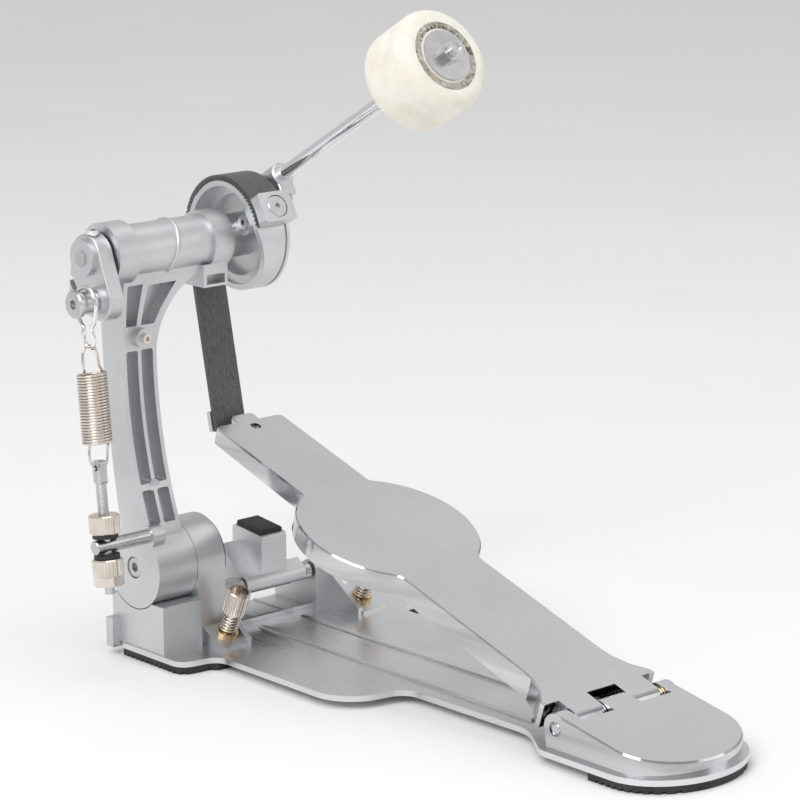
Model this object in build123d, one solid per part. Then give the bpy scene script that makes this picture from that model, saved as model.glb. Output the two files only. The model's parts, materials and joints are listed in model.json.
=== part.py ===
from build123d import *
import os
from math import radians, degrees, sin, cos, tan, acos, atan2, hypot, pi

# Bass drum pedal, millimetres. X points to the player's right, Y towards the drum, Z up.
# The origin is on the floor, under the middle of the front rubber foot.

# ---- driving dimensions -------------------------------------------------------------------
# overall layout
axle_y = 28.0              # main axle, along Y
tab_y = 33.2               # front of the footboard's tab, along Y
axle_z = 231.5             # main axle height
foot_t = 4.3               # rubber feet
plate_t = 3.2              # base plate
fit = 0.04                 # radial clearance of a pin in its bore
gap = 0.3                  # clearance between parts that pass each other

# base plate
base_front_y = 31.5
base_front_w = 92.0        # half widths
base_mid_w = 68.0
base_neck_w = 29.0
base_heel_w = 44.5
shoulder_y = -27.0         # where the wide front steps in
taper_y = -137.0           # where the middle narrows to the neck
heel_end_len = 35.0        # depth of the rounded heel end
ridge_x = 15.5
ridge_w = 4.0
ridge_h = 1.3
groove_pitch = 4.2         # ribs of the rubber feet
groove_d = 1.3

# heel plate and hinge
heel_w = 41.5
heel_pin_r = 3.0
heel_pin_h = 12.2          # pin above the base plate
heel_eye_r = 8.0
heel_slope = 0.19
knuckle_in = 10.3          # footboard knuckle, inner and outer X
knuckle_out = 30.3
washer_t = 1.6
tab_w = 9.8                # half width of the middle eye

# footboard
board_slope = 17.8         # degrees
board_top = 7.43           # top face above the pin, square to the board
board_len = 313.3
board_front_w = 24.6
board_rear_w = 28.6
board_flare_w = 40.4
board_end = 11.5           # rear edge, from the pin along the board
bulge_s = 185.0
bulge_r = 52.3
board_t_front = 9.5
board_t_rear = 14.0
board_skin = 3.0
board_wall = 3.2
nose_w = 8.5               # belt tab
nose_len = 7.5
belt_reach = 3.4           # rest gap between the tab and the belt

# bridge casting, hoop clamp
block_l = -91.0
block_r = -64.0
cheek_r = -44.5
block_rear_y = -9.0
block_front_y = 38.0
block_h = 28.0             # block above the plate
ear_in = 28.0
ear_out = 42.0
ear_rear_y = 0.5
lever_y = 6.5
lever_z = 31.5
lever_pin_r = 2.5
lever_barrel_r = 5.0
lug_in = 43.0
lug_out = 61.0
lug_rear_y = -24.5

# spurs
spur_x = 50.0
spur_y = -14.0
spur_z = 14.0
spur_tilt = 24.0
spur_r = 3.0
spur_head_r = 6.6
spur_head_len = 15.0
spur_top = 30.0            # head top above the lug, along the spur

# post
barrel_y = 17.0
barrel_z = 53.8
barrel_r = 23.5
bolt_r = 5.0
arm_r = -67.5
tube_r = 14.8
collar_l = -100.0
collar_l_len = 14.0
collar_l_r = 18.0
collar_r_x0 = -33.0
collar_r_x1 = -19.5
collar_r_r = 17.0
axle_r = 8.0
bearing_w = 7.0
bearing_r = 13.0

# wheel, belt, beater
wheel_x = -3.5             # belt centre
seat_r = 32.0
belt_w = 21.5
belt_t = 3.0
seat_end = 164.0           # belt end, under the clamp
unwind = 50.31             # arc that unwinds over the stroke
segments = 5
seam = 0.8                 # gap between belt segments
beater_x = 15.8
beater_lift = 30.0         # shaft above horizontal, degrees
beater_offset = 21.0       # shaft line from the axle
shaft_r = 3.9
boss_at = 33.0             # boss end face along the shaft
boss_len = 24.0
boss_r = 7.2
felt_at = 152.0
felt_len = 38.5
felt_r = 29.3
felt_round = 9.0

# rocker and spring
rocker_x0 = -113.5
rocker_x1 = -101.5
roller_y = axle_y - 10.5
roller_z = axle_z - 22.5
spring_x = -120.0
spring_y = barrel_y - 14.0  # pivot on the arm
spring_z = barrel_z + 21.2
hook_shift = (-1.6, -0.37)  # rest position of the link against the roller
roller_r = 6.2
coil_r = 8.3
coil_wire = 1.5
coil_turns = 24
nut_r = 8.7
arm_bar_r = 4.0

# sizes that follow from the ones above
plate_z = foot_t + plate_t
pin_z = plate_z + heel_pin_h
board_sin = sin(radians(board_slope))
board_cos = cos(radians(board_slope))
tab_s = board_len + nose_len
heel_y = tab_y + board_top * board_sin - tab_s * board_cos
heel_flare_y = heel_y + 34.0
heel_end_y = heel_y - 42.0
# the belt hangs from the wheel, tangent to it, to a point just in front of the tab
strap_y = tab_y + belt_reach + 2.9
strap_z = pin_z + board_top * board_cos + tab_s * board_sin - 3.3
drop_y = strap_y - axle_y
drop_z = strap_z - axle_z
pitch_r = seat_r + belt_t / 2
seat_start = degrees(atan2(drop_z, drop_y) + acos(pitch_r / hypot(drop_y, drop_z)))
belt_drop = (drop_y**2 + drop_z**2 - pitch_r**2) ** 0.5


def export(shape, node):
    export_step(shape, f"parts/{node}.step")


def x_cyl(r, x0, x1, y, z):
    return Pos((x0 + x1) / 2, y, z) * Rot(0, 90, 0) * Cylinder(r, abs(x1 - x0))


def box(x0, x1, y0, y1, z0, z1):
    size = (x1 - x0, y1 - y0, z1 - z0)
    return Pos((x0 + x1) / 2, (y0 + y1) / 2, (z0 + z1) / 2) * Box(*size)


def yz_prism(points, x0, x1):
    face = make_face(Polyline(*points, close=True))
    return extrude(Plane.YZ.offset(x0) * face, x1 - x0)


def xz_prism(points, y0, y1):
    wire = Polyline(*[(x, -z) for x, z in points], close=True)
    plane = Plane(origin=(0, y0, 0), x_dir=(1, 0, 0), z_dir=(0, 1, 0))
    return extrude(plane * make_face(wire), y1 - y0)


def along(origin, direction, x_dir=(1, 0, 0)):
    return Plane(origin=origin, x_dir=x_dir, z_dir=direction)


def rod(plane, r, start, end):
    return plane * Pos(0, 0, (start + end) / 2) * Cylinder(r, end - start)


def hex_prism(across, length):
    return extrude(RegularPolygon(across / 2 / cos(pi / 6), 6), length)


def both(shape):
    return [shape, mirror(shape, Plane.YZ)]


# ---- base ---------------------------------------------------------------------------------
def base_outline():
    right = [
        (base_front_w, base_front_y, 4),
        (base_front_w, shoulder_y + 2, 9),
        (base_mid_w, shoulder_y - 2, 9),
        (base_mid_w, taper_y + 2, 26),
        (base_neck_w, taper_y - 5, 12),
        (base_neck_w - 2, heel_flare_y, 26),
        (base_heel_w, heel_flare_y - 26, 10),
        (base_heel_w, heel_end_y, 0.5),
    ]
    left = [(-x, y, r) for x, y, r in reversed(right)]
    corners = right + left
    wire = FilletPolyline(*[(x, y) for x, y, r in corners], radius=[r for x, y, r in corners], close=True)
    return make_face(wire) + Pos(0, heel_end_y) * Ellipse(base_heel_w, heel_end_len)


def spur_plane(side):
    t = radians(spur_tilt)
    return along((side * spur_x, spur_y, spur_z), (0, -sin(t), cos(t)))


def base_plate():
    body = Pos(0, 0, foot_t) * extrude(base_outline(), plate_t)
    length = ear_rear_y - 3 - (heel_flare_y + 8)
    y = (ear_rear_y - 3 + heel_flare_y + 8) / 2
    for side in (-1, 1):
        ridge = Pos(side * ridge_x, y, plate_z + ridge_h / 2) * Box(ridge_w, length, ridge_h)
        ridge = chamfer(ridge.faces().sort_by(Axis.Z)[-1].edges(), ridge_h * 0.6)
        body += ridge
        body -= rod(spur_plane(side), spur_r + 1, -20, 0)
    for x, y in bridge_screw_places():
        body -= screw_from_below(x, y, 0.0)
    for x, y in heel_screw_places():
        body -= screw_from_below(x, y, 0.0)
    return body


def bridge_screw_places():
    x = (block_l + block_r) / 2
    return [(x, 0.0), (x, 26.0), (-35.0, 20.0), (35.0, 20.0)]


def heel_screw_places():
    return [(-24.0, heel_y - 24), (24.0, heel_y - 24), (0.0, heel_y - 52)]


def screw_from_below(x, y, slack):
    # countersunk screw, head flush with the plate's underside
    length = 8.0
    head = Pos(x, y, foot_t + 1.25) * Cone(4.4 + slack, 2.3 + slack, 2.5)
    shank = Pos(x, y, foot_t + length / 2) * Cylinder(2.3 + slack, length)
    return head + shank


def screw_with_socket(x, y):
    socket = Pos(x, y, foot_t) * hex_prism(2.5, 1.6)
    return screw_from_below(x, y, 0.0) - socket


def ribbed(outline, y0, y1):
    # rubber pad with grooves across its underside, a land in the middle
    body = extrude(outline, foot_t)
    count = 2 * int((y1 - y0 - 4) / groove_pitch / 2)
    start = (y0 + y1) / 2 - (count - 1) * groove_pitch / 2
    for i in range(count):
        y = start + i * groove_pitch
        body -= Pos(0, y, groove_d / 2) * Box(300, groove_pitch * 0.42, groove_d)
    for x, y in bridge_screw_places() + heel_screw_places():
        if y0 < y < y1:
            body -= Pos(x, y, foot_t / 2) * Cylinder(4.6, foot_t)
    return body


def front_foot():
    y0 = -base_front_y
    strip = Pos(0, (y0 + base_front_y) / 2) * Rectangle(300, base_front_y - y0)
    body = ribbed(offset(base_outline() & strip, amount=-0.8), y0, base_front_y)
    for side in (-1, 1):
        body -= rod(spur_plane(side), spur_r + 1.2, -20, 0)
    return body


def heel_foot():
    front = heel_end_y + 16
    outline = Pos(0, heel_end_y) * Ellipse(base_heel_w - 0.8, heel_end_len - 0.8)
    outline &= Pos(0, heel_end_y - 50) * Rectangle(300, 100)
    outline += Pos(0, heel_end_y + 8) * Rectangle(2 * base_heel_w - 1.6, 16)
    return ribbed(outline, heel_end_y - heel_end_len, front)


def heel_profile(eye_r):
    # side view of the heel plate; its rear end is cut to the outline afterwards
    top = pin_z + eye_r
    end_y = heel_end_y - heel_end_len
    drop = (heel_y - end_y) * heel_slope
    slab = yz_prism(
        [
            (heel_y + eye_r - 2, plate_z),
            (heel_y + eye_r, pin_z),
            (heel_y, top),
            (end_y - 2, top - drop),
            (end_y - 2, plate_z),
        ],
        -heel_w,
        heel_w,
    )
    eye = x_cyl(eye_r, -heel_w, heel_w, heel_y, pin_z)
    return slab + eye


def heel_plate():
    outline = Pos(0, (heel_y + 20 + heel_end_y) / 2) * Rectangle(2 * heel_w, heel_y + 20 - heel_end_y)
    outline += Pos(0, heel_end_y) * Ellipse(heel_w, heel_end_len - 4)
    body = heel_profile(heel_eye_r) & extrude(outline, 60)
    pocket_r = heel_eye_r + 3.2
    outer = knuckle_out + washer_t + 0.4
    for side in (-1, 1):
        x0, x1 = sorted((side * (tab_w), side * outer))
        body -= x_cyl(pocket_r, x0, x1, heel_y, pin_z)
        body -= box(x0, x1, heel_y, heel_y + 20, plate_z - 1, pin_z + 20)
        body -= box(x0, x1, heel_y - pocket_r, heel_y, pin_z, pin_z + 20)
    body -= x_cyl(heel_pin_r, -heel_w - 1, heel_w + 1, heel_y, pin_z)
    for side in (-1, 1):
        body -= x_cyl(heel_pin_r + 1.0, side * (heel_w - 1.4), side * (heel_w + 1), heel_y, pin_z)
    for x, y in heel_screw_places():
        body -= screw_from_below(x, y, 0.0)
    rim = body.faces().filter_by(lambda f: abs(f.normal_at().Z - 0.98) < 0.015).sort_by(SortBy.AREA)[-1]
    return chamfer(rim.outer_wire().edges().filter_by(lambda e: e.center().Y < heel_y - 20), 0.9)


def heel_pin():
    body = x_cyl(heel_pin_r, -heel_w + 0.3, heel_w - 0.3, heel_y, pin_z)
    return chamfer(body.edges().filter_by(GeomType.CIRCLE), 0.5)


def hinge_washers():
    rings = []
    for side in (-1, 1):
        x0 = side * (knuckle_out + 0.1)
        x1 = side * (knuckle_out + 0.1 + washer_t)
        ring = x_cyl(heel_eye_r - 1.2, x0, x1, heel_y, pin_z)
        rings.append(ring - x_cyl(heel_pin_r + fit, x0, x1, heel_y, pin_z))
    return Compound(rings)


# ---- footboard ----------------------------------------------------------------------------
def board_plane():
    t = radians(board_slope)
    origin = (0, heel_y - board_top * sin(t), pin_z + board_top * cos(t))
    return Plane(origin=origin, x_dir=(1, 0, 0), z_dir=(0, -sin(t), cos(t)))


def board_outline(inset):
    flare_s = 41.0
    chord = (bulge_r**2 - board_rear_w**2) ** 0.5
    strip = Polygon(
        (board_flare_w, board_end),
        (board_flare_w, board_end + 3),
        (board_rear_w + 4.5, board_end + 12),
        (board_rear_w + 0.8, board_end + 22),
        (board_rear_w, flare_s),
        (board_rear_w, bulge_s),
        (board_front_w, bulge_s),
        (board_front_w, board_len),
        (0, board_len),
        (0, board_end),
        align=None,
    )
    shape = strip + mirror(strip, Plane.YZ)
    shape += Pos(0, bulge_s) * Circle(bulge_r)
    rear = [v for v in shape.vertices() if abs(abs(v.X) - board_rear_w) < 0.1 and abs(v.Y - bulge_s + chord) < 1]
    shape = fillet(rear, 9)
    front = [v for v in shape.vertices() if abs(abs(v.X) - board_front_w) < 0.1]
    shape = fillet([v for v in front if v.Y < board_len - 5], 2.5)
    front = [v for v in shape.vertices() if abs(abs(v.X) - board_front_w) < 0.1 and v.Y > board_len - 5]
    shape = fillet(front, 4)
    return offset(shape, amount=-inset) if inset else shape


def board_wedge(cut):
    # side view: the board is thicker at the heel
    return yz_prism(
        [
            (-40, 20),
            (board_len + 40, 20),
            (board_len + 40, -board_t_front + cut),
            (board_len, -board_t_front + cut),
            (0, -board_t_rear + cut),
            (-40, -board_t_rear + cut),
        ],
        -80,
        80,
    )


def footboard():
    body = extrude(board_outline(0), -(board_t_rear + 2)) & board_wedge(0)
    inner = extrude(board_outline(board_wall), -(board_t_rear + 4)) & (Pos(0, 0, -25 - board_skin) * Box(400, 900, 50))
    ribs = Pos(0, 0, 0) * Box(3, 2000, 60)
    for s in (34, 90, bulge_s - 45, bulge_s, bulge_s + 45, 275):
        ribs += Pos(0, s, 0) * Box(200, 3, 60)
    ribs += Pos(0, 0, 0) * Box(200, 2 * 26, 60)
    ribs += Pos(0, board_len, 0) * Box(200, 2 * 14, 60)
    body -= inner - ribs
    nose = Pos(0, board_len + nose_len / 2 - 4, -board_t_front / 2) * Box(2 * nose_w, nose_len + 8, board_t_front)
    nose = fillet(nose.edges().filter_by(Axis.Z).group_by(Axis.Y)[-1], 3)
    body += nose
    body -= Pos(0, board_len - 7.5, -5) * Cylinder(3.2, 30)
    top = body.faces().sort_by(Axis.Z)[-1]
    body = chamfer(top.outer_wire().edges().filter_by(lambda e: e.center().Y > board_end + 1), 0.8)
    body = board_plane() * body
    clear = belt_t / 2 + belt_reach
    body -= strap_plane() * Pos(0, clear - 30, belt_drop) * Box(100, 60, 60)
    for side in (-1, 1):
        x0, x1 = sorted((side * knuckle_in, side * knuckle_out))
        web = Pos((x0 + x1) / 2, (board_end + 2) / 2, -board_top) * Box(x1 - x0, board_end + 2, 2 * board_top - 0.02)
        body += board_plane() * web
        body += x_cyl(board_top, x0, x1, heel_y, pin_z)
    return body - x_cyl(heel_pin_r + fit, -60, 60, heel_y, pin_z)


def board_screw():
    # set screw in the belt tab's hole
    plane = board_plane()
    body = Pos(0, board_len - 7.5, -board_t_front / 2 - 1) * Cylinder(3.2 - fit, board_t_front - 3)
    socket = Pos(0, board_len - 7.5, -board_t_front / 2 - 1) * hex_prism(3.0, 20)
    return plane * (body - socket)


# ---- bridge casting and hoop clamp -----------------------------------------------------------
def round_plate(r, y, z, x0, x1, foot_points):
    # upright plate: a round top joined by straight edges to the foot
    edges = (Pos(y, z) * Circle(r)).edges() + Polyline(*foot_points).edges()
    return extrude(Plane.YZ.offset(x0) * make_hull(edges), x1 - x0)


def bridge():
    z0 = plate_z
    block = box(block_l, block_r, block_rear_y, block_front_y, z0, z0 + block_h)
    block -= x_cyl(barrel_r + 0.5, block_l - 1, block_r, barrel_y, barrel_z)
    cheek_foot = [(barrel_y - barrel_r + 1, z0), (block_front_y, z0)]
    cheek = round_plate(barrel_r, barrel_y, barrel_z, block_r, cheek_r, cheek_foot)
    body = block + cheek
    body += box(block_l - 5, cheek_r - 0.5, block_front_y - 6.2, block_front_y, z0 - 3, z0 + 14)
    body += box(cheek_r - 1, ear_out - 1, ear_rear_y + 2, block_front_y, z0, z0 + 2)
    body += box(-ear_in - 1, ear_in + 1, ear_rear_y + 2.5, ear_rear_y + 5, z0, z0 + 4.5)
    body += box(cheek_r - 1, ear_out - 1, block_front_y - 6.2, block_front_y, z0 - 3, z0 + 2)
    for rib_x in (-12, 12):
        body += box(rib_x - 1, rib_x + 1, ear_rear_y + 4, block_front_y, z0 + 1, z0 + 2.8)
    for side in (-1, 1):
        x0, x1 = sorted((side * ear_in, side * ear_out))
        ear_foot = [(ear_rear_y, z0), (block_front_y, z0), (block_front_y, z0 + 12)]
        body += round_plate(6.2, lever_y, lever_z, x0, x1, ear_foot)
        g0, g1 = sorted((side * (ear_out - 2), side * (ear_out + 1.5)))
        body += yz_prism(
            [(lug_rear_y + 1, z0), (lug_rear_y + 1, z0 + 4), (ear_rear_y + 6, lever_z), (ear_rear_y + 6, z0)], g0, g1)
        body += lug(side)
        body -= x_cyl(lever_pin_r, side * (ear_in - 1), side * (ear_out + 4), lever_y, lever_z)
    body -= x_cyl(bolt_r, block_r - 1, cheek_r + 1, barrel_y, barrel_z)
    for side in (-1, 1):
        body -= rod(spur_plane(side), spur_r + fit, -20, 0.5)
    for x, y in bridge_screw_places():
        body -= screw_from_below(x, y, 0.0)
    return body


def lug(side):
    # wedge whose top is square to the spur
    x0, x1 = sorted((side * lug_in, side * lug_out))
    y1 = -4.0
    slope = tan(radians(spur_tilt))
    rear = spur_z - (spur_y - lug_rear_y) * slope
    front = spur_z + (y1 - spur_y) * slope
    return yz_prism([(lug_rear_y, plate_z), (lug_rear_y, rear), (y1, front), (y1 + 9, plate_z)], x0, x1)


def clamp_lever():
    body = x_cyl(lever_barrel_r, -22, 22, lever_y, lever_z)
    ramp = [(lever_y - 3.5, lever_z + 3.5), (lever_y + 21, lever_z + 20.5),
            (lever_y + 23, lever_z + 17), (lever_y + 3.5, lever_z - 1)]
    body += yz_prism(ramp, -22, 8)
    short = [(lever_y - 3.5, lever_z + 3.5), (lever_y + 3, lever_z + 8.3),
             (lever_y + 6, lever_z + 4.5), (lever_y + 3.5, lever_z - 1)]
    body += yz_prism(short, 7, 22)
    jaw = [(lever_y, lever_z - 4.5), (lever_y + 27, lever_z - 9.5), (lever_y + 27, lever_z - 5.5), (lever_y, lever_z)]
    body += yz_prism(jaw, -22, 22)
    for x in (-20.5, -7, 6.5):
        web = [(lever_y, lever_z), (lever_y + 22, lever_z + 18), (lever_y + 26, lever_z - 7)]
        body += yz_prism(web, x - 1.5, x + 1.5)
    head = yz_prism(
        [(lever_y - 2, lever_z + 4), (lever_y - 2, lever_z + 27), (lever_y + 24.5, lever_z + 30),
         (lever_y + 24.5, lever_z + 16), (lever_y + 20, lever_z + 16)], -9, 9.5)
    head = fillet(head.edges().filter_by(Axis.X).sort_by(Axis.Z)[-2:], 2)
    body += head
    return body - x_cyl(lever_pin_r + fit, -30, 30, lever_y, lever_z)


def clamp_pad():
    slope = degrees(atan2(3, 26.5))
    pad = Pos(0.2, lever_y + 11, lever_z + 28.4 + 1.5) * Rot(slope, 0, 0) * Box(15.6, 22, 3)
    pad = fillet(pad.faces().sort_by(Axis.Z)[-1].edges(), 1.2)
    return pad - clamp_lever()


def jaw_pad():
    slope = degrees(atan2(-5, 27))
    return Pos(0, lever_y + 16, lever_z - 7.35 - 1.35) * Rot(slope, 0, 0) * Box(40, 18, 2.4) - clamp_lever()


def lever_pin():
    return x_cyl(lever_pin_r, -ear_out + 0.3, ear_out - 0.3, lever_y, lever_z)


def clamp_springs():
    rings = []
    for side in (-1, 1):
        for i in range(3):
            x = side * (23.4 + i * 1.5)
            rings.append(Pos(x, lever_y, lever_z) * Rot(0, 90, 0) * Torus(4.2, 0.7))
    return Compound(rings)


def spur(side):
    plane = spur_plane(side)
    top = spur_top
    head = rod(plane, spur_head_r, top - spur_head_len, top)
    head = chamfer(head.edges().filter_by(GeomType.CIRCLE), 0.8)
    for i in range(24):
        angle = i * 15
        notch = Rot(0, 0, angle) * Pos(spur_head_r + 0.15, 0, top - spur_head_len / 2) * Cylinder(0.5, spur_head_len + 2)
        head -= plane * notch
    head -= rod(plane, spur_head_r - 1.6, top - 7, top + 1)
    shank = rod(plane, spur_r, -10, top - spur_head_len + 1)
    tip = plane * Pos(0, 0, -12) * Cone(0.3, spur_r, 4)
    return head + shank + tip


def spur_spring(side):
    rings = []
    plane = spur_plane(side)
    for i in range(5):
        rings.append(plane * Pos(0, 0, 4.3 + i * 2.2) * Torus(4.6, 0.65))
    return Compound(rings)


def spur_collars():
    rings = []
    for side in (-1, 1):
        plane = spur_plane(side)
        ring = rod(plane, 6.3, 0.05, 2.2) - rod(plane, spur_r + 0.3, -1, 3)
        rings.append(chamfer(ring.edges().filter_by(GeomType.CIRCLE).sort_by(Axis.Z)[-1], 0.5))
    return Compound(rings)


# ---- post ------------------------------------------------------------------------------------
arm_top = axle_z - 15.5
arm_low = barrel_z + 21.2
rear_curve = [(barrel_y - 14, arm_low), (barrel_y + 0.2, arm_low + 47), (barrel_y + 2.5, arm_top)]
front_curve = [(barrel_y + 11, arm_low), (barrel_y + 20.5, arm_low + 60), (barrel_y + 25.5, arm_top)]
boss_z = axle_z - 48.0


def arm_side(front_shift, rear_shift):
    # side view of the arm between its rear and front curves
    rear = [(y + rear_shift, z) for y, z in rear_curve]
    front = [(y + front_shift, z) for y, z in front_curve]
    foot_z = barrel_z
    outline = [
        ThreePointArc(*rear),
        Line(rear[-1], (rear[-1][0], axle_z)),
        Line((rear[-1][0], axle_z), (front[-1][0], axle_z)),
        Line((front[-1][0], axle_z), front[-1]),
        ThreePointArc(*reversed(front)),
        Line(front[0], (front[0][0], foot_z)),
        Line((front[0][0], foot_z), (rear[0][0], foot_z)),
        Line((rear[0][0], foot_z), rear[0]),
    ]
    return extrude(Plane.YZ.offset(block_l) * make_face(outline), 75)


def arm_face(inset):
    # view from the heel: a strip that flares under the axle tube
    x0 = block_l + inset
    x1 = arm_r - inset
    low = barrel_z + 8
    bend = arm_top - 44
    wire = [
        Line((x0, low), (x1, low)),
        Line((x1, low), (x1, bend)),
        ThreePointArc((x1, bend), (x1 + 7.5, arm_top - 19), (x1 + 29.5, arm_top)),
        Line((x1 + 29.5, arm_top), (x1 + 29.5, axle_z)),
        Line((x1 + 29.5, axle_z), (x0, axle_z)),
        Line((x0, axle_z), (x0, low)),
    ]
    plane = Plane(origin=(0, 90, 0), x_dir=(1, 0, 0), z_dir=(0, -1, 0))
    return extrude(plane * make_face(wire), 120)


def arm_pockets():
    # hollows in the face towards the heel, a rib between them
    mid = (block_l + arm_r) / 2
    wall = 2.6
    small_z = arm_low + 25.4
    near = arm_side(9, -6) - arm_side(9, 9)
    cut = None
    for x0, x1 in ((block_l + wall, mid - 1.2), (mid + 1.2, arm_r - wall)):
        for z0, z1 in ((arm_low + 5, small_z - 1.9), (small_z + 1.6, boss_z - 7.5)):
            cell = box(x0, x1, -30, 90, z0, z1)
            cell = fillet(cell.edges().filter_by(Axis.Y), 1.2)
            cut = cell if cut is None else cut + cell
    low = boss_z + 6.5
    high = boss_z + 30.0
    cut += xz_prism([(block_l + wall, low), (mid - 2, low), (mid + 1.5, high), (block_l + wall, high)], -30, 90)
    fan = [(mid + 1, low), (arm_r - 1.5, low), (arm_r + 3.5, low + 9), (arm_r + 13, high - 1), (mid + 5, high - 1)]
    cut += xz_prism(fan, -30, 90)
    return cut & near


def post():
    body = arm_side(0, 0) & arm_face(0)
    body -= arm_pockets()
    mid = (block_l + arm_r) / 2
    tube_x1 = collar_r_x1
    body += x_cyl(barrel_r, block_l, block_r - gap, barrel_y, barrel_z)
    body += x_cyl(tube_r, collar_l, tube_x1, axle_y, axle_z)
    body += x_cyl(collar_l_r, collar_l, collar_l + collar_l_len, axle_y, axle_z)
    body += x_cyl(collar_r_r, collar_r_x0, tube_x1, axle_y, axle_z)
    for z, r, y in ((boss_z, 5.4, barrel_y + 0.8), (arm_low + 25.4, 3.6, barrel_y - 5.2)):
        body += Pos(mid, y + 8, z) * Rot(90, 0, 0) * Cylinder(r, 16)
    body += box(-38, -21, axle_y - 12, axle_y + 6, axle_z - 25, axle_z - 12)
    body -= box(-36, -23, axle_y - 13, axle_y - 4, axle_z - 23.5, axle_z - 18)
    body += x_cyl(6.4, block_l, block_l + 8, spring_y + 1, spring_z - 1)
    body -= x_cyl(axle_r + 1.5, collar_l - 1, tube_x1 + 1, axle_y, axle_z)
    body -= x_cyl(bearing_r, collar_l - 1, collar_l + bearing_w, axle_y, axle_z)
    body -= x_cyl(bearing_r, tube_x1 - bearing_w, tube_x1 + 1, axle_y, axle_z)
    body -= x_cyl(bolt_r + fit, block_l - 1, block_r, barrel_y, barrel_z)
    body -= x_cyl(6.3, block_l - 1, block_l + 5, barrel_y, barrel_z)
    body -= x_cyl(arm_bar_r, block_l - 1, block_l + 6, spring_y, spring_z)
    body -= post_pin_shape(0.0)
    return body


def post_pin_shape(slack):
    mid = (block_l + arm_r) / 2
    return Pos(mid, barrel_y + 0.8, boss_z) * Rot(90, 0, 0) * Cylinder(2.8 + slack, 6)


def post_pin():
    body = post_pin_shape(0.0)
    socket = Plane(origin=((block_l + arm_r) / 2, barrel_y - 3, boss_z), x_dir=(1, 0, 0), z_dir=(0, 1, 0))
    return body - socket * hex_prism(2.6, 2.6)


def fold_bolt():
    head_x = block_l + 0.6
    body = x_cyl(6.2, head_x, block_l + 4.5, barrel_y, barrel_z)
    body += x_cyl(bolt_r, block_l + 4, cheek_r + 1, barrel_y, barrel_z)
    body = chamfer(body.edges().filter_by(GeomType.CIRCLE).sort_by(Axis.X)[0], 0.8)
    return body - Pos(head_x, barrel_y, barrel_z) * Rot(0, 90, 0) * hex_prism(5.0, 3.2)


def hinge_cap():
    ring = x_cyl(barrel_r - 1.2, cheek_r, cheek_r + 2, barrel_y, barrel_z)
    ring = fillet(ring.edges().filter_by(GeomType.CIRCLE).sort_by(Axis.X)[-1], 1)
    return ring - x_cyl(bolt_r, cheek_r - 1, cheek_r + 1, barrel_y, barrel_z)


def bearing(x0, x1):
    ring = x_cyl(bearing_r, x0, x1, axle_y, axle_z) - x_cyl(axle_r + fit, x0, x1, axle_y, axle_z)
    for face_x, step in ((x0, 0.8), (x1, -0.8)):
        lo, hi = sorted((face_x, face_x + step))
        race = x_cyl(bearing_r - 1.4, lo, hi, axle_y, axle_z) - x_cyl(axle_r + 1.4, lo, hi, axle_y, axle_z)
        ring -= race
    return ring


# ---- axle, wheel and beater --------------------------------------------------------------------
def axle():
    body = x_cyl(axle_r, rocker_x1 + 0.0, wheel_x + 10, axle_y, axle_z)
    hexa = Pos(rocker_x0 - 1.0, axle_y, axle_z) * Rot(0, 90, 0) * hex_prism(8.4, rocker_x1 - rocker_x0 + 3)
    return body + hexa


def on_wheel(angle, r):
    a = radians(angle)
    return axle_y + r * cos(a), axle_z + r * sin(a)


def sector(r0, r1, a0, a1, x0, x1):
    # ring sector about the axle, angles from +Y towards +Z
    ring = x_cyl(r1, x0, x1, axle_y, axle_z) - x_cyl(r0, x0, x1, axle_y, axle_z)
    steps = max(2, int((a1 - a0) / 40) + 1)
    fan = [(axle_y, axle_z)]
    for i in range(steps + 1):
        fan.append(on_wheel(a0 + (a1 - a0) * i / steps, r1 * 1.6))
    return ring & yz_prism(fan, x0, x1)


def cam_wheel():
    left = wheel_x - belt_w / 2
    right = wheel_x + belt_w / 2 + 1.2
    body = x_cyl(seat_r, left, right, axle_y, axle_z)
    body -= x_cyl(seat_r - 3.4, left - 1, wheel_x - 1, axle_y, axle_z)
    body -= x_cyl(seat_r - 8.5, left - 1, wheel_x + 4.5, axle_y, axle_z)
    body -= x_cyl(seat_r - 3.4, wheel_x + 8, right + 1, axle_y, axle_z)
    # the side away from the belt is cut back at a slant
    middle = (seat_start + seat_end) / 2
    slant = Plane(origin=(left, axle_y, axle_z), x_dir=(0, cos(radians(middle)), sin(radians(middle))), z_dir=(-1, 0, 0))
    cutter = slant * Rot(0, -17, 0) * Pos(0, 0, 25) * Box(200, 200, 50)
    body -= cutter & box(-90, 60, axle_y - 60, axle_y + 60, axle_z - 60, axle_z + 60)
    # flange groove and hub
    groove = x_cyl(seat_r + 1, right - 3.4, right - 2.0, axle_y, axle_z) - x_cyl(seat_r - 1.2, right - 3.4, right - 2.0, axle_y, axle_z)
    body -= groove
    body += x_cyl(12.5, collar_r_x1 + gap, wheel_x + 9, axle_y, axle_z)
    spoke = Pos(wheel_x, *on_wheel(150, 18)) * Rot(150, 0, 0) * Box(10, 20, 11)
    body += spoke & x_cyl(seat_r, left, right, axle_y, axle_z)
    # belt clamp seat across the full width
    body += sector(seat_r - 6, seat_r, 140, 160, left, right - 1)
    body += x_cyl(4.2, wheel_x - 7.5, wheel_x + 2, *on_wheel(146, 16.5))
    body -= x_cyl(1.6, wheel_x - 8.5, wheel_x - 3, *on_wheel(146, 16.5))
    body -= clamp_screw_shape(0.0)
    return body - x_cyl(axle_r, collar_r_x1, wheel_x + 10, axle_y, axle_z)


def belt_arc(a0, a1):
    x0 = wheel_x - belt_w / 2
    return sector(seat_r + 0.05, seat_r + belt_t, a0, a1, x0, x0 + belt_w)


def belt_wrap():
    return belt_arc(seat_start + unwind, seat_end) - clamp_screw_shape(0.0)


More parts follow.
